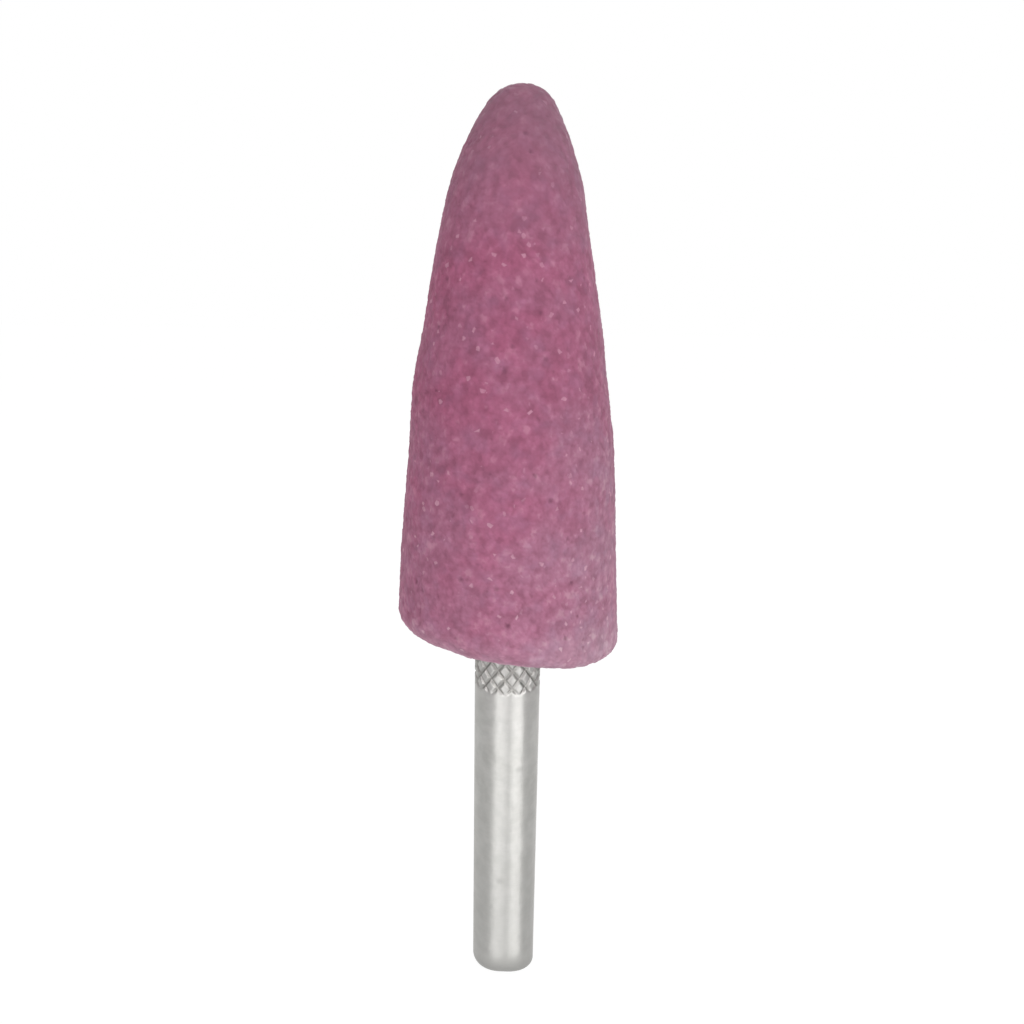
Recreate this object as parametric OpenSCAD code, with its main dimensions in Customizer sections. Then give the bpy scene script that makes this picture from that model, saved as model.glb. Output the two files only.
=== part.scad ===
// Mounted point: an abrasive head of bullet form, cemented onto a knurled steel shank.
// Lengths are in millimetres. Z runs up the axis, from the free end of the shank to the tip.

/* [Head] */
// Largest diameter of the head, where its base edge meets its side
head_d = 20; // [18:0.5:25]
// Length of the head from its base to its tip
head_length = 45; // [40:0.5:55]
// Radius of the rounded edge round the base
base_edge_r = 2; // [0.5:0.1:3]
// Angle by which the straight lower side leans in, in degrees
side_taper = 5; // [2:0.1:6]
// Height above the base at which the straight side ends and the long curve starts
taper_height = 14.5; // [8:0.5:18]
// Diameter at the shoulder, where the long curve ends and the nose curve starts
shoulder_d = 11; // [9.5:0.25:12]
// Distance from the tip down to the shoulder
shoulder_drop = 8.25; // [7:0.25:10]
// Radius of the blunt tip
tip_r = 3.2; // [1.5:0.1:3.8]
// Angle by which the nose curve leans in where it meets the tip's radius, in degrees
tip_angle = 33; // [28:1:40]

/* [Shank] */
// Diameter of the plain shank, the size that a collet takes
shank_d = 6; // [5:0.25:8]
// Length of shank that stands out of the head
shank_out = 35; // [25:0.5:50]
// Length of shank inside the head
shank_in = 20; // [14:0.5:26]
// Radius of the rounded edge at the free end
end_edge_r = 1; // [0.3:0.1:1.5]

/* [Knurl] */
// Length of knurl that shows below the head
knurl_out = 5.4; // [2:0.1:8]
// Number of diamonds round the shank
knurl_count = 14; // [10:1:20]
// Angle between the grooves and the axis, in degrees
groove_angle = 39; // [30:1:60]
// Height of the diamonds' points above the plain shank
point_rise = 0.1; // [0.05:0.01:0.2]
// Depth of the grooves below the plain shank
groove_depth = 0.2; // [0.05:0.01:0.25]
// Depth by which the knurl's first row starts below the plain shank
lead_step = 0.02; // [0.01:0.01:0.05]
// Depth of the bevel round the inner end
inner_bevel = 0.5; // [0.2:0.1:1]

/* [Bond] */
// Thickness of cement between the knurl's points and the bore
bond_gap = 0.2; // [0.1:0.05:0.5]
// Thickness of cement between the inner end and the floor of the bore
bond_floor = 0.5; // [0.2:0.1:1.5]
// Distance from the base to the mouth of the cement
bond_setback = 0.4; // [0.1:0.1:1.5]

/* [Hidden] */

shank_r = shank_d / 2;
shank_length = shank_out + shank_in;
knurl_start = shank_out - knurl_out;
bore_r = shank_r + point_rise + bond_gap;
bore_depth = shank_in + bond_floor;

// Head outline, as [radius, height above the base]: each stretch meets the next one on a common tangent.
head_r = head_d / 2;
edge_centre = [head_r - base_edge_r, base_edge_r];
edge_end = edge_centre + base_edge_r * [cos(side_taper), sin(side_taper)];
side_end = [edge_end.x - (taper_height - edge_end.y) * tan(side_taper), taper_height];
shoulder = [shoulder_d / 2, head_length - shoulder_drop];
tip_centre = [0, head_length - tip_r];
tip_start = tip_centre + tip_r * [cos(tip_angle), sin(tip_angle)];

// Directions up the outline where its curves meet.
side_direction = [-sin(side_taper), cos(side_taper)];
shoulder_direction = (tip_start - side_end) / norm(tip_start - side_end);
tip_direction = [-sin(tip_angle), cos(tip_angle)];

// Knurl grid: grooves cross at the even nodes and a diamond's point stands at each odd one.
columns = 2 * knurl_count;
knurl_length = shank_length - knurl_start;
row_ideal = PI * shank_d / columns / tan(groove_angle);
rows = round(knurl_length / row_ideal);
row_height = knurl_length / rows;

// Largest distance between an arc of an outline and its chords.
arc_error = 0.005;
// Chords along each free curve of an outline.
curve_steps = 10;
// Facets to a full turn of a turned solid.
turn_steps = 120;

// Points along an arc, from one angle to another. An arc that goes on from another one skips its first point.
function arc(centre, radius, from, to, goes_on = false) =
    let (steps = ceil((to - from) / (2 * acos(1 - arc_error / radius))))
    [
        for (step = [goes_on ? 1 : 0 : steps])
            let (angle = from + (to - from) * step / steps)
            centre + radius * [cos(angle), sin(angle)]
    ];

// Points along a smooth curve from one point and direction to another, without its first point.
function curve(from, from_direction, to, to_direction) =
    let (
        handle = norm(to - from) / 3,
        from_handle = from + handle * from_direction,
        to_handle = to - handle * to_direction
    )
    [
        for (step = [1 : curve_steps])
            let (t = step / curve_steps, s = 1 - t)
            s * s * s * from + 3 * s * s * t * from_handle + 3 * s * t * t * to_handle + t * t * t * to
    ];

module head_outline() {
    polygon(concat(
        [[0, 0]],
        arc(edge_centre, base_edge_r, -90, side_taper),
        [side_end],
        curve(side_end, side_direction, shoulder, shoulder_direction),
        curve(shoulder, shoulder_direction, tip_start, tip_direction),
        arc(tip_centre, tip_r, tip_angle, 90, goes_on = true)
    ));
}

module abrasive_head() {
    color("#b07090")
        translate([0, 0, shank_out])
            difference() {
                rotate_extrude($fn = turn_steps)
                    head_outline();
                translate([0, 0, -bore_depth])
                    cylinder(r = bore_r, h = 2 * bore_depth, $fn = turn_steps);
            }
}

module plain_outline() {
    polygon(concat(
        [[0, 0]],
        arc([shank_r - end_edge_r, end_edge_r], end_edge_r, -90, 0),
        [[shank_r, knurl_start], [0, knurl_start]]
    ));
}

// Radius of the knurl at one node of its grid.
function knurl_r(column, row) =
    row == 0 ? shank_r - lead_step :
    row == rows ? shank_r - inner_bevel :
    (column + row) % 2 == 0 ? shank_r - groove_depth :
    shank_r + point_rise;

function knurl_node(column, row) =
    let (angle = 360 * column / columns, radius = knurl_r(column, row))
    [radius * cos(angle), radius * sin(angle), knurl_start + row * row_height];

function node_index(column, row) = row * columns + column % columns;

// The two facets of one cell of the grid, parted along the groove that crosses it.
function cell_facets(column, row) =
    let (
        low = node_index(column, row),
        low_next = node_index(column + 1, row),
        high = node_index(column, row + 1),
        high_next = node_index(column + 1, row + 1)
    )
    (column + row) % 2 == 0
        ? [[low, high, high_next], [low, high_next, low_next]]
        : [[low, high, low_next], [high, high_next, low_next]];

module knurl() {
    nodes = [for (row = [0 : rows], column = [0 : columns - 1]) knurl_node(column, row)];
    facets = [
        for (row = [0 : rows - 1], column = [0 : columns - 1], facet = cell_facets(column, row)) facet
    ];
    bottom = [for (column = [0 : columns - 1]) node_index(column, 0)];
    top = [for (column = [columns - 1 : -1 : 0]) node_index(column, rows)];
    polyhedron(points = nodes, faces = concat([bottom, top], facets), convexity = 4);
}

module shank() {
    color("#c8c8c4") {
        rotate_extrude($fn = turn_steps)
            plain_outline();
        knurl();
    }
}

module bond_cement() {
    color("#d8d0c0")
        difference() {
            translate([0, 0, shank_out + bond_setback])
                cylinder(r = bore_r, h = bore_depth - bond_setback, $fn = turn_steps);
            knurl();
        }
}

abrasive_head();
shank();
bond_cement();
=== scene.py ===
import math

import bpy
import numpy as np
from mathutils import Matrix, Vector


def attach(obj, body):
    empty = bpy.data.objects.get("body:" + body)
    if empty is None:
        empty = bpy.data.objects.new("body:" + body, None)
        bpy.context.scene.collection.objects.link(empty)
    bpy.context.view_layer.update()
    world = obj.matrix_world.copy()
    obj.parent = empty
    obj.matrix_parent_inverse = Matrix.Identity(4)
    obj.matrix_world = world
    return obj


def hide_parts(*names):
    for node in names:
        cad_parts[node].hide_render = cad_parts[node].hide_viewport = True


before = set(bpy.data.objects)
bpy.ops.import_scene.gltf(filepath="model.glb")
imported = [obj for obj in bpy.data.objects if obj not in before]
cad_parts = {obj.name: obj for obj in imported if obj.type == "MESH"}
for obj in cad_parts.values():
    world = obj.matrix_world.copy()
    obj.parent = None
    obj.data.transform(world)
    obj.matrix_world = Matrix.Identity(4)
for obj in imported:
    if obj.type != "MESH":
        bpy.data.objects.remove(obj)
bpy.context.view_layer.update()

MM = 0.001

# Sizes of the CAD model, in millimetres.
SHANK_R = 3.0
SHANK_OUT = 35.0
SHANK_LENGTH = 55.0
INNER_BEVEL = 0.5
KNURL_START = 29.6
KNURL_COUNT = 14
KNURL_ROWS = 31
POINT_RISE = 0.1
GROOVE_DEPTH = 0.2
HEAD_R = 10.0
HEAD_LENGTH = 45.0
SIDE_TAPER = math.radians(5.0)
TAPER_HEIGHT = 14.5
SHOULDER_R = 5.5
SHOULDER_DROP = 8.25
TIP_R = 3.2
TIP_ANGLE = math.radians(33.0)
BORE_R = 3.3
BORE_DEPTH = 20.5

# Sides are told by the cosine of the angle round the axis: 1 is right, -1 is left, 0 is in front and behind.
RIGHT = 1
LEFT = -1
ALL_ROUND = 0

# The moulded head isn't quite true: its base is askew, and the edge round it is crisp only on the right.
EDGE_R_RIGHT = 0.6
EDGE_R_FRONT = 2.3
EDGE_R_LEFT = 1.65
EDGE_RIGHT_ENDS = 0.8
EDGE_FRONT_STARTS = -0.05
EDGE_FRONT_ENDS = -0.5
MOUTH_R = 0.25
SIDE_WEAR = 0.16
SIDE_WEAR_LEFT = 0.14
SIDE_WEAR_TOP = 12.0
BASE_SLANT = math.radians(-5.0)
SLANT_FADE = 15.0
TIP_LEAN = 0.6
TIP_LEAN_START = 36.0
# Soft swells of the stone: rise, height of the middle above the base, reach up and down, and side.
SWELLS = (
    (0.05, HEAD_LENGTH, 2.0, ALL_ROUND),
    (0.08, 43.3, 2.5, LEFT),
    (0.12, 38.0, 4.5, RIGHT),
    (0.22, 22.0, 5.5, LEFT),
    (0.17, 15.0, 9.0, RIGHT),
)

# Relief of the stone's skin, in millimetres, with the seeds of its random numbers.
GRAIN_SIZE = 0.54
GRAIN_SEED = 1
GRAIN_TILT = 0.12
GRAIN_STEP = 0.045
SEAM_WIDTH = 0.17
SEAM_DEPTH = 0.03
PORE_SPACING = 1.15
PORE_SEED = 51
PORE_SHARE = 0.22
PORE_LEAST_R = 0.14
PORE_R_SPREAD = 0.16
PORE_DEPTH = 0.09
NO_PORE_R = 0.001
# Lumps of three sizes: rise, size and seed.
LUMPS = ((0.022, 1.2, 29), (0.03, 2.6, 31), (0.05, 6.5, 37))

# The shank's free end is rounded unevenly: crisp on the right, rounder on the left, roundest between.
END_R_RIGHT = 0.15
END_R_FRONT = 1.5
END_R_LEFT = 0.75
END_R_POWER = 1.6
# The knurl fades out over a short run, and the shank is turned in the head so that it shows as in the photo.
KNURL_FADE = 0.6
KNURL_TURN = math.radians(8.5)
# The rise from groove to point starts before the groove and ends before the point, so that both are blunt.
RISE_STARTS = -0.28
RISE_ENDS = 0.88
# Diamonds are rolled a little unevenly, by patches of this size.
UNEVEN_ROLL = 0.03
UNEVEN_SIZE = 1.1
UNEVEN_SEED = 71
# Painted shade in the grooves: they darken from a little above the plain shank's radius, over a depth.
DARK_ABOVE = 0.02
DARK_DEPTH = 0.16
# Small dark marks on the plain part of the shank: their places and radius in millimetres.
MARKS = ((-0.38, -2.98, 10.90), (1.20, -2.75, 22.40))
MARK_R = 0.6

# Spacing of the head's mesh, in millimetres, and the share of it between one ring and the next.
FINE = 0.175
COARSE = 1.2
ROW_SHARE = 0.9
LEAST_ROWS = 2
LEAST_RING = 6
# A ring smaller than this is one point on the axis.
AXIS_R = 1e-6
# Points along each stretch of the head's outline before it is spaced.
DENSE = 200
# What lies this close to the bore, and no further than this beyond its blind end, gets no grain.
BORE_SKIN = 0.02
BORE_TOP = 1.0

# Rows of the shank's mesh, in millimetres: fine ones where the knurl shows, with a margin above and below.
INNER_ROW = 0.15
SHOWN_ROW = 0.06
SHOWN_ABOVE = 0.8
SHOWN_BELOW = 0.3
PLAIN_TOP_BELOW = 0.4
PLAIN_BOTTOM = 1.7
PLAIN_ROWS = 16
BEND_ROWS = 16
DIAMOND_SEGMENTS = 22
PLAIN_SEGMENTS = 168

# Camera fitted to the photograph: distance and target in millimetres, focal length in pixels of the frame,
# nearest and farthest sight in metres.
CAMERA_DISTANCE = 70.0
CAMERA_TARGET = (0.170, 0.0, 45.810)
CAMERA_ELEVATION = math.radians(13.17)
CAMERA_ROLL = math.radians(-0.952)
CAMERA_FOCAL = 799.1
CAMERA_NEAR = 0.001
CAMERA_FAR = 100.0
FRAME_PIXELS = 1024
SENSOR_MM = 36.0

# Light and stage: the world's level on the object, the floor's glow, half the floor's width in metres,
# and the height in millimetres that panels face.
WORLD_LEVEL = 0.5
GLOW_STRENGTH = 1.14
GLOW_SHARE = 0.8
FLOOR_HALF = 6.0
LIT_HEIGHT = 45.0

# Colours of the stone, from its darkest grains to its palest, each at its place in the mottle.
STONE = (
    (0.15, (0.326, 0.083, 0.160)),
    (0.38, (0.393, 0.104, 0.197)),
    (0.55, (0.425, 0.115, 0.217)),
    (0.72, (0.457, 0.130, 0.239)),
    (0.90, (0.520, 0.174, 0.286)),
)
STONE_PURPLE = (0.398, 0.148, 0.272)
# A pale grain colour, partly a painted glint.
STONE_SPECK_AND_GLINT = (0.640, 0.300, 0.420)
# Painted shade: a darker, greyer tip.
STONE_TIP_SHADE = (0.225, 0.142, 0.180)
# A dusty paleness with painted bounce light, for the edge round the base.
STONE_EDGE_DUST_AND_BOUNCE = (0.610, 0.370, 0.465)
# Painted shade for the sunken seams between grains.
STONE_SEAM_SHADE = (0.250, 0.072, 0.128)
# Painted shade for the pores.
STONE_PORE_SHADE = (0.165, 0.046, 0.087)
STONE_SHEEN = (1.0, 0.93, 0.96)
# Shares of the grains, of finer grains and of clouds in the mottle.
GRAIN_SHARE = 0.34
FINE_SHARE = 0.06
CLOUD_SHARE = 0.60
FINE_SIZE = 0.36
# Factors on the stone's colour: in patches; a painted sheen on its right side; and, toward its base and at
# the edge round it, a dusty paleness with painted light bounced up from the floor.
UNCHANGED = (1.0, 1.0, 1.0)
ROSE_PATCH = (1.0, 1.01, 1.0)
MAUVE_PATCH = (0.975, 1.14, 1.065)
LIGHT_PATCH = (1.035, 1.035, 1.035)
DARK_PATCH = (0.965, 0.965, 0.965)
PAINTED_SHEEN_RIGHT = (0.98, 1.22, 1.10)
BASE_DUST_AND_BOUNCE = (1.21, 1.58, 1.39)
EDGE_DUST_AND_BOUNCE = (1.19, 1.56, 1.38)
# Where the stone's colour changes, in millimetres: heights above the base, and places from left to right.
TIP_SHADE_STARTS = 30.0
DUST_AND_BOUNCE_TOP = 26.0
PALE_EDGE_TOP = 4.0
PALE_EDGE_BOTTOM = -0.6
LEFT_PLACE = -8.0
RIGHT_PLACE = 6.0
RIGHT_SIDE_PLACE = 9.0

# Colours of the steel, the cement and the stage, and the factors on the steel's colour in small patches.
STEEL = (0.490, 0.486, 0.470)
STEEL_STAIN = (0.450, 0.446, 0.428)
STEEL_MARK = (0.17, 0.165, 0.155)
# Darker towards the free end.
STEEL_LOWER_DARKER = (0.400, 0.396, 0.382)
# Painted shade for the rounded free end.
STEEL_RIM_SHADE = (0.310, 0.307, 0.296)
# Painted shade for the knurl's grooves.
STEEL_GROOVE_SHADE = (0.130, 0.120, 0.108)
BRIGHT_STEEL = (1.05, 1.05, 1.05)
DULL_STEEL = (0.95, 0.95, 0.95)
CEMENT = (0.55, 0.52, 0.47)
CEMENT_DARK = (0.40, 0.375, 0.335)
PAPER = (0.9, 0.9, 0.9)
WHITE = (1.0, 1.0, 1.0)
# Heights on the shank, in millimetres, over which its darker lower part, its dark rim of painted shade and
# its brushing change.
DARKER_BOTTOM = 2.0
DARKER_TOP = 24.0
RIM_BOTTOM = 0.5
RIM_TOP = 3.4
BRUSHED_BOTTOM = 0.8
BRUSHED_TOP = 2.8

# Multipliers and shifts that turn whole numbers into repeatable random ones.
HASH_AXES = (0x8DA6B343, 0xD8163841, 0xCB1AB31F)
HASH_SEED = 0x165667B1
HASH_ROUNDS = ((13, 0x85EBCA6B), (16, 0xC2B2AE35))
HASH_LAST_SHIFT = 15
LARGEST_WORD = 0xFFFFFFFF
# A cell's own random numbers: how many, and how far their seeds lie from those of its centre.
CELL_NUMBERS = 4
CELL_SEEDS = 10

# Places of the colours among the sockets of a mix node, which has some for numbers and vectors as well.
MIX_FIRST = 6
MIX_SECOND = 7
MIX_RESULT = 2


def hashed(cell, seed):
    """A repeatable random number from 0 to 1 for each whole-number cell."""
    whole = cell.astype(np.int64).astype(np.uint32)
    word = np.uint32(seed * HASH_SEED & LARGEST_WORD)
    for axis, factor in enumerate(HASH_AXES):
        word = word ^ whole[:, axis] * np.uint32(factor)
    for shift, factor in HASH_ROUNDS:
        word = (word ^ word >> np.uint32(shift)) * np.uint32(factor)
    return (word ^ word >> np.uint32(HASH_LAST_SHIFT)) / (LARGEST_WORD + 1.0)


def cells(points, size, seed):
    """Grain-like cells: distances to the two nearest centres, offset from the first, its random numbers."""
    p = points / size
    base = np.floor(p)
    first = np.full(len(p), np.inf)
    second = np.full(len(p), np.inf)
    offset = np.zeros_like(p)
    owner = np.zeros_like(p)
    for step in np.ndindex(3, 3, 3):
        cell = base + np.array(step) - 1
        centre = cell + np.stack([hashed(cell, seed + axis) for axis in range(3)], 1)
        gap = p - centre
        far = np.linalg.norm(gap, axis=1)
        nearer = far < first
        second = np.where(nearer, first, np.minimum(second, far))
        offset[nearer] = gap[nearer]
        owner[nearer] = cell[nearer]
        first = np.where(nearer, far, first)
    chance = np.stack([hashed(owner, seed + CELL_SEEDS + k) for k in range(CELL_NUMBERS)], 1)
    return first * size, second * size, offset * size, chance


def smooth_noise(points, size, seed):
    """Soft noise from -1 to 1 with features of about the given size."""
    p = points / size
    base = np.floor(p)
    t = p - base
    t = t * t * (3 - 2 * t)
    total = np.zeros(len(p))
    for corner in np.ndindex(2, 2, 2):
        weight = np.prod(np.where(corner, t, 1 - t), axis=1)
        total += weight * hashed(base + np.array(corner), seed)
    return total * 2 - 1


def ramp(x, low, high):
    """A smooth rise from 0 at low to 1 at high."""
    t = np.clip((x - low) / (high - low), 0, 1)
    return t * t * (3 - 2 * t)


def hump(height, middle, reach):
    """A smooth hump of 1 in the middle that ends at its reach on both sides."""
    return np.clip(1 - ((height - middle) / reach) ** 2, 0, 1) ** 2


def arc(centre, radius, start, end):
    """Points along an arc from one angle to another."""
    a = np.linspace(start, end, DENSE)
    return centre + radius * np.stack([np.cos(a), np.sin(a)], 1)


def straight(start, end):
    """Points along a straight line."""
    return np.linspace(start, end, DENSE)


def curve(start, start_direction, end, end_direction):
    """Points along a smooth curve from one point and direction to another."""
    handle = np.linalg.norm(end - start) / 3
    t = np.linspace(0, 1, DENSE)[:, None]
    s = 1 - t
    first = start + handle * start_direction
    second = end - handle * end_direction
    return s**3 * start + 3 * s**2 * t * first + 3 * s * t**2 * second + t**3 * end


def distances_along(points):
    """Distance of each point from the first one, along the line of points."""
    return np.concatenate([[0], np.cumsum(np.linalg.norm(np.diff(points, axis=0), axis=1))])


def evenly(points, count):
    """Evenly spaced points along a line of points, without its end."""
    along = distances_along(points)
    places = np.linspace(0, along[-1], count + 1)[:-1]
    return np.stack([np.interp(places, along, points[:, k]) for k in range(2)], 1)


def head_stretches(edge_r):
    """Stretches of the head's outline with their spacing: from the tip to the base, and on up the bore."""
    sin, cos, quarter = math.sin, math.cos, math.pi / 2
    edge_centre = np.array([HEAD_R - edge_r, edge_r])
    edge_end = edge_centre + edge_r * np.array([cos(SIDE_TAPER), sin(SIDE_TAPER)])
    side_end_r = edge_end[0] - (TAPER_HEIGHT - edge_end[1]) * math.tan(SIDE_TAPER)
    side_end = np.array([side_end_r, TAPER_HEIGHT])
    shoulder = np.array([SHOULDER_R, HEAD_LENGTH - SHOULDER_DROP])
    tip_centre = np.array([0.0, HEAD_LENGTH - TIP_R])
    tip_end = tip_centre + TIP_R * np.array([cos(TIP_ANGLE), sin(TIP_ANGLE)])
    tip_down = np.array([sin(TIP_ANGLE), -cos(TIP_ANGLE)])
    shoulder_down = (side_end - tip_end) / np.linalg.norm(side_end - tip_end)
    side_down = np.array([sin(SIDE_TAPER), -cos(SIDE_TAPER)])
    mouth_centre = np.array([BORE_R + MOUTH_R, MOUTH_R])
    bore_corner = (BORE_R, BORE_DEPTH)
    return [
        (arc(tip_centre, TIP_R, quarter, TIP_ANGLE), FINE),
        (curve(tip_end, tip_down, shoulder, shoulder_down), FINE),
        (curve(shoulder, shoulder_down, side_end, side_down), FINE),
        (straight(side_end, edge_end), FINE),
        (arc(edge_centre, edge_r, SIDE_TAPER, -quarter), FINE),
        (straight((edge_centre[0], 0), (mouth_centre[0], 0)), FINE),
        (arc(mouth_centre, MOUTH_R, -quarter, -math.pi), FINE),
        (straight((BORE_R, MOUTH_R), bore_corner), COARSE),
        (straight(bore_corner, (0, BORE_DEPTH)), COARSE),
    ]


def row_count(points, gap):
    return max(LEAST_ROWS, round(distances_along(points)[-1] / (ROW_SHARE * gap)))


def head_outline(edge_r, counts=None):
    """Rows of radius, height and normal along the outline, their spacing, and the rows in each stretch."""
    stretches = head_stretches(edge_r)
    if counts is None:
        counts = [row_count(points, gap) for points, gap in stretches]
    rows = [evenly(points, count) for (points, _), count in zip(stretches, counts)]
    rows = np.vstack([*rows, [(0.0, BORE_DEPTH)]])
    along = np.gradient(rows, axis=0)
    normal = np.stack([-along[:, 1], along[:, 0]], 1)
    normal[rows[:, 0] == 0, 0] = 0
    normal /= np.linalg.norm(normal, axis=1)[:, None]
    spacing = np.append(np.repeat([gap for _, gap in stretches], counts), COARSE)
    return np.hstack([rows, normal]), spacing, counts


def ring_size(radius, gap):
    """Points in a ring: one on the axis, and elsewhere as many as the spacing asks."""
    return 1 if radius < AXIS_R else max(LEAST_RING, round(2 * math.pi * radius / gap))


def joined_rings(sizes, starts, turns):
    """Triangles between each ring and the next, for rings with any number of points."""
    faces = []
    for k in range(len(sizes) - 1):
        n, m, a, b = sizes[k], sizes[k + 1], starts[k], starts[k + 1]
        if n == 1:
            faces += [(a, b + j, b + (j + 1) % m) for j in range(m)]
            continue
        if m == 1:
            faces += [(a + i, b, a + (i + 1) % n) for i in range(n)]
            continue
        i = j = 0
        while i < n or j < m:
            next_a = (i + 1 + turns[k]) / n
            next_b = (j + 1 + turns[k + 1]) / m
            if j == m or (i < n and next_a <= next_b):
                faces.append((a + i % n, b + j % m, a + (i + 1) % n))
                i += 1
            else:
                faces.append((a + i % n, b + j % m, b + (j + 1) % m))
                j += 1
    return faces


def turned(sizes):
    """Ring and angle of each point, and the triangles, for some ring sizes. Odd rings turn half a step."""
    starts = np.concatenate([[0], np.cumsum(sizes)])
    turns = np.array([0.5 * (k % 2) for k in range(len(sizes))])
    ring = np.repeat(np.arange(len(sizes)), sizes)
    place = np.arange(len(ring)) - starts[ring]
    angle = 2 * np.pi * (place + turns[ring]) / np.array(sizes)[ring]
    return ring, angle, joined_rings(sizes, starts, turns)


def make_mesh(name, points, faces, **values):
    """A smooth mesh from points in millimetres, with named numbers at each point for the material."""
    mesh = bpy.data.meshes.new(name)
    mesh.from_pydata((points * MM).tolist(), [], faces)
    for key, numbers in values.items():
        mesh.attributes.new(key, "FLOAT", "POINT").data.foreach_set("value", numbers.astype(np.float32))
    mesh.polygons.foreach_set("use_smooth", np.ones(len(mesh.polygons), bool))
    mesh.update()
    return mesh


def base_edge_radius(across):
    """Radius of the edge round the head's base, which differs on the right, in front and on the left."""
    to_front = ramp(across, EDGE_RIGHT_ENDS, EDGE_FRONT_STARTS)
    to_left = ramp(across, EDGE_FRONT_ENDS, LEFT)
    return EDGE_R_RIGHT + (EDGE_R_FRONT - EDGE_R_RIGHT) * to_front + (EDGE_R_LEFT - EDGE_R_FRONT) * to_left


def stone_skin(points):
    """Relief of grains, seams, lumps and pores, with the pores, the seams and each grain's tone."""
    first, second, offset, chance = cells(points, GRAIN_SIZE, GRAIN_SEED)
    tilt = chance[:, :3] * 2 - 1
    tone = chance[:, 3]
    grain = GRAIN_TILT * np.sum(offset * tilt, axis=1) + GRAIN_STEP * (tone - 0.5)
    seam = 1 - ramp(second - first, 0.0, SEAM_WIDTH)
    lumps = sum(rise * smooth_noise(points, size, seed) for rise, size, seed in LUMPS)
    near, _, _, draw = cells(points, PORE_SPACING, PORE_SEED)
    pore_r = np.where(draw[:, 0] < PORE_SHARE, PORE_LEAST_R + PORE_R_SPREAD * draw[:, 1], NO_PORE_R)
    pore = np.clip(1 - (near / pore_r) ** 2, 0, 1)
    return grain + lumps - SEAM_DEPTH * seam - PORE_DEPTH * pore, pore, seam, tone


def head_mesh():
    """The stone: its outline turned about the axis, then relief, wear, swells, slant and lean."""
    worn, spacings, counts = head_outline(EDGE_R_FRONT)
    crisp, _, _ = head_outline(EDGE_R_RIGHT, counts)
    ring, angle, faces = turned([ring_size(radius, gap) for radius, gap in zip(worn[:, 0], spacings)])
    across = np.cos(angle)
    wear = ((base_edge_radius(across) - EDGE_R_RIGHT) / (EDGE_R_FRONT - EDGE_R_RIGHT))[:, None]
    form = crisp[ring] * (1 - wear) + worn[ring] * wear
    out = np.stack([across, np.sin(angle)], 1)
    points = np.column_stack([form[:, :1] * out, form[:, 1]])
    normals = np.column_stack([form[:, 2:3] * out, form[:, 3]])
    normals /= np.linalg.norm(normals, axis=1)[:, None]
    height = points[:, 2].copy()
    inside = (form[:, 0] < BORE_R + BORE_SKIN) & (height < BORE_DEPTH + BORE_TOP)
    skin = np.where(inside, 0.0, 1.0)

    relief, pore, seam, tone = stone_skin(points)
    low = np.clip(1 - height / SIDE_WEAR_TOP, 0, 1) ** 2
    side_wear = SIDE_WEAR + SIDE_WEAR_LEFT * (1 - across) / 2
    relief -= low * side_wear * np.clip(form[:, 2], 0, 1)
    for rise, middle, reach, side in SWELLS:
        share = 1.0 if side == ALL_ROUND else (1 + side * across) / 2
        relief += rise * share * hump(height, middle, reach)
    points += normals * (relief * skin)[:, None]

    lean = np.clip((height - TIP_LEAN_START) / (HEAD_LENGTH - TIP_LEAN_START), 0, 1) ** 2
    points[:, 2] += points[:, 0] * math.tan(BASE_SLANT) * np.clip(1 - height / SLANT_FADE, 0, 1)
    points[:, 0] += TIP_LEAN * lean
    points[:, 2] += SHANK_OUT
    return make_mesh("abrasive_stone", points, faces, pore=pore * skin, seam=seam * skin, tone=tone)


def knurl_relief(angle, height):
    """Height of the rolled diamonds above the plain shank: grooves cross and leave blunt points between."""
    row = KNURL_ROWS * (height - KNURL_START) / (SHANK_LENGTH - KNURL_START)
    column = KNURL_COUNT * (angle - KNURL_TURN) / np.pi
    away = [np.abs(lane / 2 - np.round(lane / 2)) * 2 for lane in (column + row, column - row)]
    rise = ramp(np.minimum(*away), RISE_STARTS, RISE_ENDS)
    rise = (rise - rise.min()) / (rise.max() - rise.min())
    return -GROOVE_DEPTH + (POINT_RISE + GROOVE_DEPTH) * rise


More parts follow.
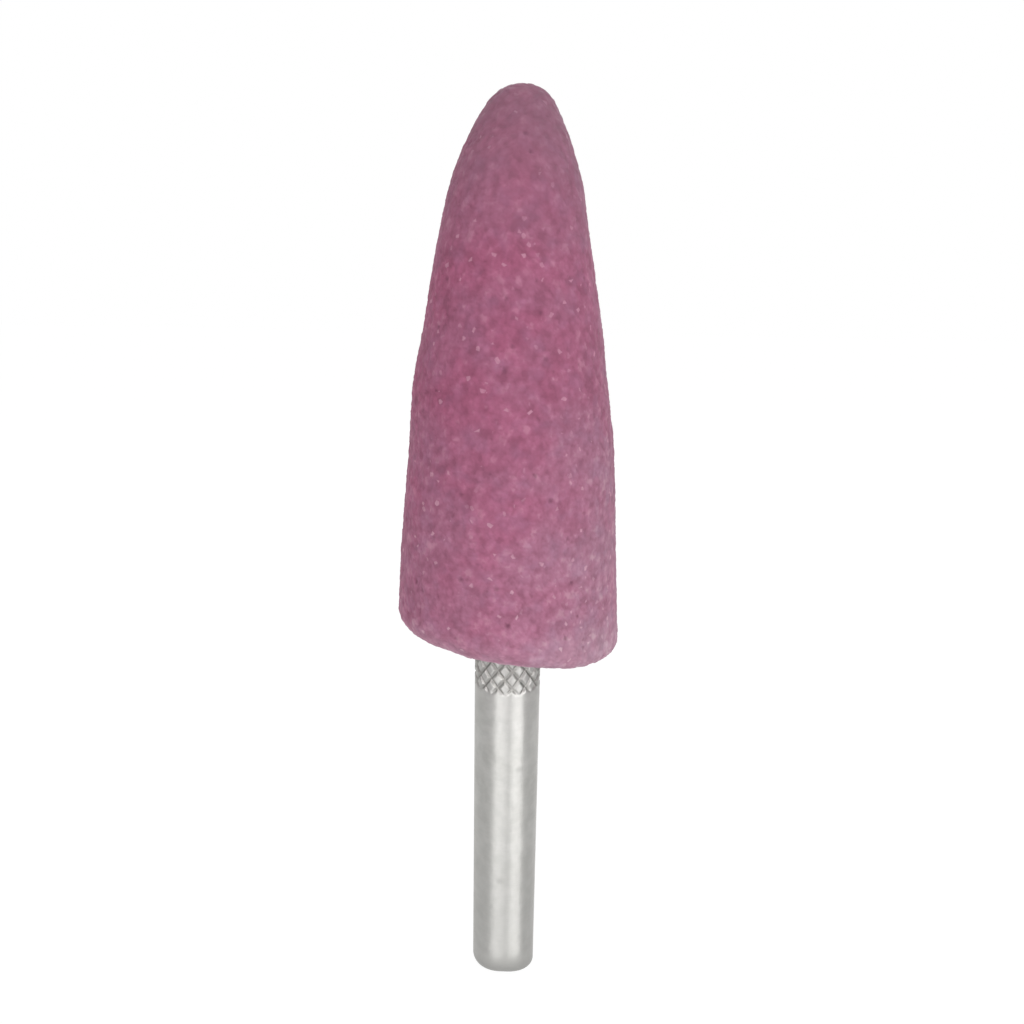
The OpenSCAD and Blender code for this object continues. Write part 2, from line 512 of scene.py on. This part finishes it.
def shank_mesh():
    """The shank from its inner end down: hidden knurl, shown knurl, plain part, bend to the free end."""
    inner = np.arange(SHANK_LENGTH, SHANK_OUT + SHOWN_ABOVE, -INNER_ROW)
    shown = np.arange(SHANK_OUT + SHOWN_ABOVE, KNURL_START - SHOWN_BELOW, -SHOWN_ROW)
    plain = np.linspace(KNURL_START - PLAIN_TOP_BELOW, PLAIN_BOTTOM, PLAIN_ROWS)
    bend = np.linspace(0, np.pi / 2, BEND_ROWS)
    side = np.concatenate([inner, shown, plain])
    knurled_sizes = [KNURL_COUNT * DIAMOND_SEGMENTS] * (len(inner) + len(shown))
    plain_sizes = [PLAIN_SEGMENTS] * (len(plain) + len(bend) + 1)
    sizes = [1, *knurled_sizes, *plain_sizes, 1]
    ring, angle, faces = turned(sizes)
    across = np.cos(angle)
    around = np.sin(angle)
    end_start = 1 + len(side)
    last = len(sizes) - 1

    height = np.concatenate([[SHANK_LENGTH], side, np.zeros(len(sizes) - end_start)])[ring]
    fade = ramp(height, KNURL_START, KNURL_START + KNURL_FADE)
    skin = np.column_stack([across * SHANK_R, around * SHANK_R, height])
    _, _, _, chance = cells(skin, UNEVEN_SIZE, UNEVEN_SEED)
    radius = SHANK_R + fade * (knurl_relief(angle, height) + UNEVEN_ROLL * (chance[:, 0] - 0.5))
    bevel = np.clip((SHANK_LENGTH - height) / INNER_BEVEL, 0, 1)
    radius = np.minimum(radius, SHANK_R - INNER_BEVEL * (1 - bevel))

    on_end = ring >= end_start
    turn = bend[np.clip(ring - end_start, 0, len(bend) - 1)]
    end_side_r = np.where(across > 0, END_R_RIGHT, END_R_LEFT)
    end_r = END_R_FRONT + (end_side_r - END_R_FRONT) * np.abs(across) ** END_R_POWER
    radius = np.where(on_end, SHANK_R - end_r * (1 - np.cos(turn)), radius)
    height = np.where(on_end, end_r * (1 - np.sin(turn)), height)
    radius = np.where(ring == last - 1, radius / 2, radius)
    radius = np.where((ring == 0) | (ring == last), 0, radius)
    points = np.column_stack([across * radius, around * radius, height])
    # How deep each point lies in a groove, for the painted shade in the grooves.
    groove = fade * ramp(SHANK_R + DARK_ABOVE - radius, 0.0, DARK_DEPTH) * ~on_end
    return make_mesh("knurled_shank", points, faces, groove=groove)


class Graph:
    """Short ways to add and join the nodes of one material or world."""

    def __init__(self, tree):
        self.tree = tree
        tree.nodes.clear()

    def add(self, kind, settings=None, **inputs):
        node = self.tree.nodes.new(kind)
        for name, value in (settings or {}).items():
            setattr(node, name, value)
        for name, value in inputs.items():
            self.put(node.inputs[name.replace("_", " ")], value)
        return node

    def put(self, socket, value):
        if isinstance(value, bpy.types.NodeSocket):
            self.tree.links.new(value, socket)
        elif socket.type == "RGBA":
            socket.default_value = (*value, 1.0)
        else:
            socket.default_value = value

    def math(self, operation, a, b):
        node = self.add("ShaderNodeMath", {"operation": operation})
        self.put(node.inputs[0], a)
        self.put(node.inputs[1], b)
        return node.outputs[0]

    def mix(self, factor, a, b, blend="MIX"):
        node = self.add("ShaderNodeMix", {"data_type": "RGBA", "blend_type": blend})
        self.put(node.inputs[0], factor)
        self.put(node.inputs[MIX_FIRST], a)
        self.put(node.inputs[MIX_SECOND], b)
        return node.outputs[MIX_RESULT]

    def total(self, *parts):
        """The sum of some values, each times its share."""
        sum_so_far, *others = [self.math("MULTIPLY", value, share) for value, share in parts]
        for other in others:
            sum_so_far = self.math("ADD", sum_so_far, other)
        return sum_so_far

    def part(self, colour, other, mask, share):
        """The colour with another one over it, by a share of the mask."""
        return self.mix(self.math("MULTIPLY", mask, share), colour, other)

    def tint(self, colour, factor, low, high):
        """The colour times a second one, which runs from low to high with the factor."""
        return self.mix(1.0, colour, self.mix(factor, low, high), "MULTIPLY")

    def span(self, value, low, high, to_low=0.0, to_high=1.0):
        """A smooth change from one number to another as the value goes from low to high."""
        node = self.add("ShaderNodeMapRange", {"interpolation_type": "SMOOTHSTEP"})
        for socket, number in zip(node.inputs, (value, low, high, to_low, to_high)):
            self.put(socket, number)
        return node.outputs[0]

    def colours(self, value, stops):
        node = self.add("ShaderNodeValToRGB", Fac=value)
        band = node.color_ramp
        while len(band.elements) < len(stops):
            band.elements.new(0.5)
        for element, (place, colour) in zip(band.elements, stops):
            element.position = place
            element.color = (*colour, 1.0)
        return node.outputs[0]

    def noise(self, place, size, detail=3.0):
        node = self.add("ShaderNodeTexNoise", Vector=place, Scale=1 / (size * MM), Detail=detail)
        return node.outputs[0]

    def patches(self, place, size, low, high, most=1.0):
        """Soft patches of a size in millimetres, from 0 to the most."""
        return self.span(self.noise(place, size), low, high, to_high=most)

    def grains(self, place, size, feature="F1"):
        node = self.add("ShaderNodeTexVoronoi", {"feature": feature}, Vector=place, Scale=1 / (size * MM))
        return node.outputs

    def bump(self, height, strength, depth, **inputs):
        """A bump of a depth in millimetres."""
        node = self.add("ShaderNodeBump", Strength=strength, Distance=depth * MM, Height=height, **inputs)
        return node.outputs[0]

    def place(self):
        return self.add("ShaderNodeTexCoord").outputs["Object"]

    def attribute(self, name):
        return self.add("ShaderNodeAttribute", {"attribute_name": name}).outputs["Fac"]


def new_material(name):
    material = bpy.data.materials.new(name)
    material.use_nodes = True
    return material, Graph(material.node_tree)


def close_material(g, shader):
    g.add("ShaderNodeOutputMaterial", Surface=shader.outputs[0])


def above_base(height):
    """A height above the head's base in millimetres, as a height in the frame."""
    return (SHANK_OUT + height) * MM


def abrasive_material():
    material, g = new_material("rose_abrasive")
    place = g.place()
    side, _, height = g.add("ShaderNodeSeparateXYZ", Vector=place).outputs

    fine = g.grains(place, FINE_SIZE)
    fine_edge = g.grains(place, FINE_SIZE, feature="DISTANCE_TO_EDGE")
    fine_chance, fine_tone, _ = g.add("ShaderNodeSeparateColor", Color=fine["Color"]).outputs
    cloud = g.patches(place, size=0.9, low=0.28, high=0.72)
    mottle = g.total((g.attribute("tone"), GRAIN_SHARE), (fine_tone, FINE_SHARE), (cloud, CLOUD_SHARE))
    colour = g.colours(mottle, STONE)
    colour = g.mix(g.patches(place, size=1.5, low=0.45, high=0.70, most=0.30), colour, STONE_PURPLE)
    colour = g.tint(colour, g.patches(place, size=4.5, low=0.38, high=0.62), ROSE_PATCH, MAUVE_PATCH)
    colour = g.tint(colour, g.patches(place, size=2.4, low=0.35, high=0.65), LIGHT_PATCH, DARK_PATCH)
    # Painted sheen: the right side turns greyer and paler.
    colour = g.tint(colour, g.span(side, low=0.0, high=RIGHT_SIDE_PLACE * MM), UNCHANGED, PAINTED_SHEEN_RIGHT)
    # Pale grains as soft-edged specks, partly painted glints off crystal facets.
    speck_chance = g.span(fine_chance, low=0.955, high=0.995)
    speck_and_glint = g.math("MULTIPLY", speck_chance, g.span(fine_edge["Distance"], low=0.0, high=0.22))
    colour = g.part(colour, STONE_SPECK_AND_GLINT, mask=speck_and_glint, share=0.8)

    # Painted shade: the stone turns darker and greyer toward its tip.
    tip = g.span(height, low=above_base(TIP_SHADE_STARTS), high=above_base(HEAD_LENGTH), to_high=0.5)
    colour = g.mix(tip, colour, STONE_TIP_SHADE)
    across = {"low": LEFT_PLACE * MM, "high": RIGHT_PLACE * MM}
    # A dusty paleness with painted bounce light from the floor: paler toward the base, most on the right.
    base_dust_and_bounce = g.span(height, low=above_base(DUST_AND_BOUNCE_TOP), high=above_base(0))
    base_dust_and_bounce = g.math("MULTIPLY", base_dust_and_bounce, g.span(side, **across, to_low=0.6, to_high=1.0))
    colour = g.tint(colour, base_dust_and_bounce, UNCHANGED, BASE_DUST_AND_BOUNCE)
    # A dusty paleness with painted bounce light at the edge round the base, most on the left.
    edge = g.span(height, low=above_base(PALE_EDGE_TOP), high=above_base(PALE_EDGE_BOTTOM))
    edge = g.math("MULTIPLY", edge, g.span(side, **across, to_low=1.0, to_high=0.6))
    colour = g.tint(colour, edge, UNCHANGED, EDGE_DUST_AND_BOUNCE)
    colour = g.part(colour, STONE_EDGE_DUST_AND_BOUNCE, mask=edge, share=0.35)
    # Painted shade in the sunken seams between grains.
    colour = g.part(colour, STONE_SEAM_SHADE, mask=g.attribute("seam"), share=0.22)
    # Painted shade in the pores.
    colour = g.part(colour, STONE_PORE_SHADE, mask=g.attribute("pore"), share=0.75)

    grit = g.bump(g.noise(place, size=0.16, detail=2.0), strength=0.3, depth=0.05)
    shader = g.add("ShaderNodeBsdfPrincipled", Base_Color=colour, Roughness=0.85, Specular_IOR_Level=0.25,
                   Sheen_Weight=0.15, Sheen_Roughness=0.4, Sheen_Tint=STONE_SHEEN, Normal=grit)
    close_material(g, shader)
    return material


def steel_material():
    material, g = new_material("satin_steel")
    place = g.place()
    height = g.add("ShaderNodeSeparateXYZ", Vector=place).outputs[2]
    stretched = g.add("ShaderNodeMapping", Vector=place, Scale=(0.05, 0.05, 1.0)).outputs[0]
    lines = g.noise(stretched, size=0.05, detail=4.0)

    stain = g.span(g.noise(place, size=3.5, detail=4.0), low=0.35, high=0.7)
    colour = g.mix(stain, STEEL, STEEL_STAIN)
    colour = g.tint(colour, g.patches(place, size=0.9, low=0.3, high=0.7), BRIGHT_STEEL, DULL_STEEL)
    for centre in MARKS:
        gap = g.add("ShaderNodeVectorMath", {"operation": "DISTANCE"}, Vector=place)
        gap.inputs[1].default_value = [number * MM for number in centre]
        mark = g.span(gap.outputs["Value"], low=0.0, high=MARK_R * MM, to_low=0.36, to_high=0.0)
        colour = g.mix(mark, colour, STEEL_MARK)
    # Darker towards the free end.
    lower_darkening = g.span(height, low=DARKER_BOTTOM * MM, high=DARKER_TOP * MM, to_low=0.55, to_high=0.0)
    colour = g.mix(lower_darkening, colour, STEEL_LOWER_DARKER)
    # Painted shade: darker steel near the rounded free end, standing in for the darker surroundings it
    # mirrors there.
    rim = g.span(height, low=RIM_BOTTOM * MM, high=RIM_TOP * MM, to_low=0.75, to_high=0.0)
    colour = g.mix(rim, colour, STEEL_RIM_SHADE)
    # Painted shade in the knurl's grooves.
    colour = g.part(colour, STEEL_GROOVE_SHADE, mask=g.attribute("groove"), share=0.42)

    waves = g.bump(g.noise(place, size=1.6, detail=2.0), strength=0.8, depth=0.06)
    turning = g.bump(lines, strength=0.10, depth=0.01, Normal=waves)
    rough = g.span(lines, low=0.25, high=0.75, to_low=0.42, to_high=0.52)
    brushed = g.span(height, low=BRUSHED_BOTTOM * MM, high=BRUSHED_TOP * MM, to_high=0.92)
    tangent = g.add("ShaderNodeTangent", {"direction_type": "RADIAL", "axis": "Z"}).outputs[0]
    shader = g.add("ShaderNodeBsdfPrincipled", Base_Color=colour, Metallic=1.0, Roughness=rough,
                   Anisotropic=brushed, Anisotropic_Rotation=0.25, Tangent=tangent, Normal=turning)
    close_material(g, shader)
    return material


def cement_material():
    material, g = new_material("bond_cement")
    place = g.place()
    cloud = g.span(g.noise(place, size=0.5, detail=4.0), low=0.3, high=0.7)
    grit = g.bump(g.noise(place, size=0.2), strength=0.5, depth=0.05)
    shader = g.add("ShaderNodeBsdfPrincipled", Base_Color=g.mix(cloud, CEMENT, CEMENT_DARK), Roughness=0.85,
                   Normal=grit)
    close_material(g, shader)
    return material


def seen_directly(g):
    """1 for rays from the camera and for mirror and glass rays, which all see the white background."""
    path = g.add("ShaderNodeLightPath").outputs
    mirrored = g.math("MAXIMUM", path["Is Glossy Ray"], path["Is Transmission Ray"])
    return g.math("MAXIMUM", path["Is Camera Ray"], mirrored)


def floor_material():
    """White paper that keeps the object's shadow, under a glow that makes the background white."""
    material, g = new_material("white_floor")
    paper = g.add("ShaderNodeBsdfDiffuse", Color=PAPER)
    glow = g.add("ShaderNodeEmission", Strength=GLOW_STRENGTH)
    blend = g.add("ShaderNodeMixShader")
    g.put(blend.inputs[0], g.math("MULTIPLY", seen_directly(g), GLOW_SHARE))
    g.put(blend.inputs[1], paper.outputs[0])
    g.put(blend.inputs[2], glow.outputs[0])
    close_material(g, blend)
    return material


def build_world():
    world = bpy.data.worlds.new("studio")
    world.use_nodes = True
    g = Graph(world.node_tree)
    level = g.span(seen_directly(g), low=0.0, high=1.0, to_low=WORLD_LEVEL, to_high=1.0)
    sky = g.add("ShaderNodeBackground", Color=WHITE, Strength=level)
    g.add("ShaderNodeOutputWorld", Surface=sky.outputs[0])
    bpy.context.scene.world = world


def add_object(name, data):
    thing = bpy.data.objects.new(name, data)
    bpy.context.scene.collection.objects.link(thing)
    return thing


def soft_light(name, azimuth, level, elevation=8, distance=0.40, width=0.24, height=0.34):
    """A soft panel that faces the object. Azimuth 0 is the camera's side, and level is its brightness."""
    panel = bpy.data.lights.new(name, "AREA")
    panel.shape = "RECTANGLE"
    panel.size = width
    panel.size_y = height
    panel.energy = level * math.pi * width * height
    a, e = math.radians(azimuth), math.radians(elevation)
    back = Vector((math.sin(a) * math.cos(e), -math.cos(a) * math.cos(e), math.sin(e)))
    thing = add_object(name, panel)
    thing.location = Vector((0, 0, LIT_HEIGHT * MM)) + back * distance
    thing.rotation_euler = back.to_track_quat("Z", "Y").to_euler()
    return thing


def build_lights():
    soft_light("key_right", azimuth=40, level=2.0, width=0.26)
    soft_light("key_left", azimuth=-30, level=1.0)
    # Fills light the stone and aren't mirrored in the steel.
    soft_light("front_fill", azimuth=-8, level=0.25).visible_glossy = False
    soft_light("back_fill", azimuth=180, level=1.5).visible_glossy = False
    # Tall panels that are only mirrored draw the bright bands down the shank.
    for name, azimuth, level in (("band_right", 34, 2.2), ("band_left", -17, 2.3), ("band_back", 172, 2.0)):
        soft_light(name, azimuth, level, elevation=25, distance=0.30, height=0.40).visible_diffuse = False


def build_camera():
    camera = bpy.data.cameras.new("camera")
    camera.sensor_width = SENSOR_MM
    camera.lens = CAMERA_FOCAL / FRAME_PIXELS * SENSOR_MM
    camera.clip_start = CAMERA_NEAR
    camera.clip_end = CAMERA_FAR
    e, roll = CAMERA_ELEVATION, CAMERA_ROLL
    back = Vector((0, -math.cos(e), math.sin(e)))
    flat = Vector((1, 0, 0))
    up = Vector((0, math.sin(e), math.cos(e)))
    right = flat * math.cos(roll) - up * math.sin(roll)
    top = flat * math.sin(roll) + up * math.cos(roll)
    turn = Matrix((right, top, back)).transposed().to_4x4()
    thing = add_object("camera", camera)
    thing.matrix_world = Matrix.Translation((Vector(CAMERA_TARGET) + back * CAMERA_DISTANCE) * MM) @ turn
    bpy.context.scene.camera = thing


def build_floor():
    mesh = bpy.data.meshes.new("floor")
    corners = [(x * FLOOR_HALF, y * FLOOR_HALF, 0) for x, y in ((-1, -1), (1, -1), (1, 1), (-1, 1))]
    mesh.from_pydata(corners, [], [(0, 1, 2, 3)])
    mesh.materials.append(floor_material())
    add_object("floor", mesh)


def dress_node(name, material):
    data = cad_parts[name].data
    data.materials.clear()
    data.materials.append(material)


def dressed(mesh, node, material):
    mesh.materials.append(material)
    piece = add_object(mesh.name, mesh)
    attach(piece, "root")
    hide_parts(node)


dressed(head_mesh(), "abrasive_head", abrasive_material())
dressed(shank_mesh(), "shank", steel_material())
dress_node("bond_cement", cement_material())

build_camera()
build_floor()
build_world()
build_lights()
bpy.context.scene.view_settings.view_transform = "Standard"
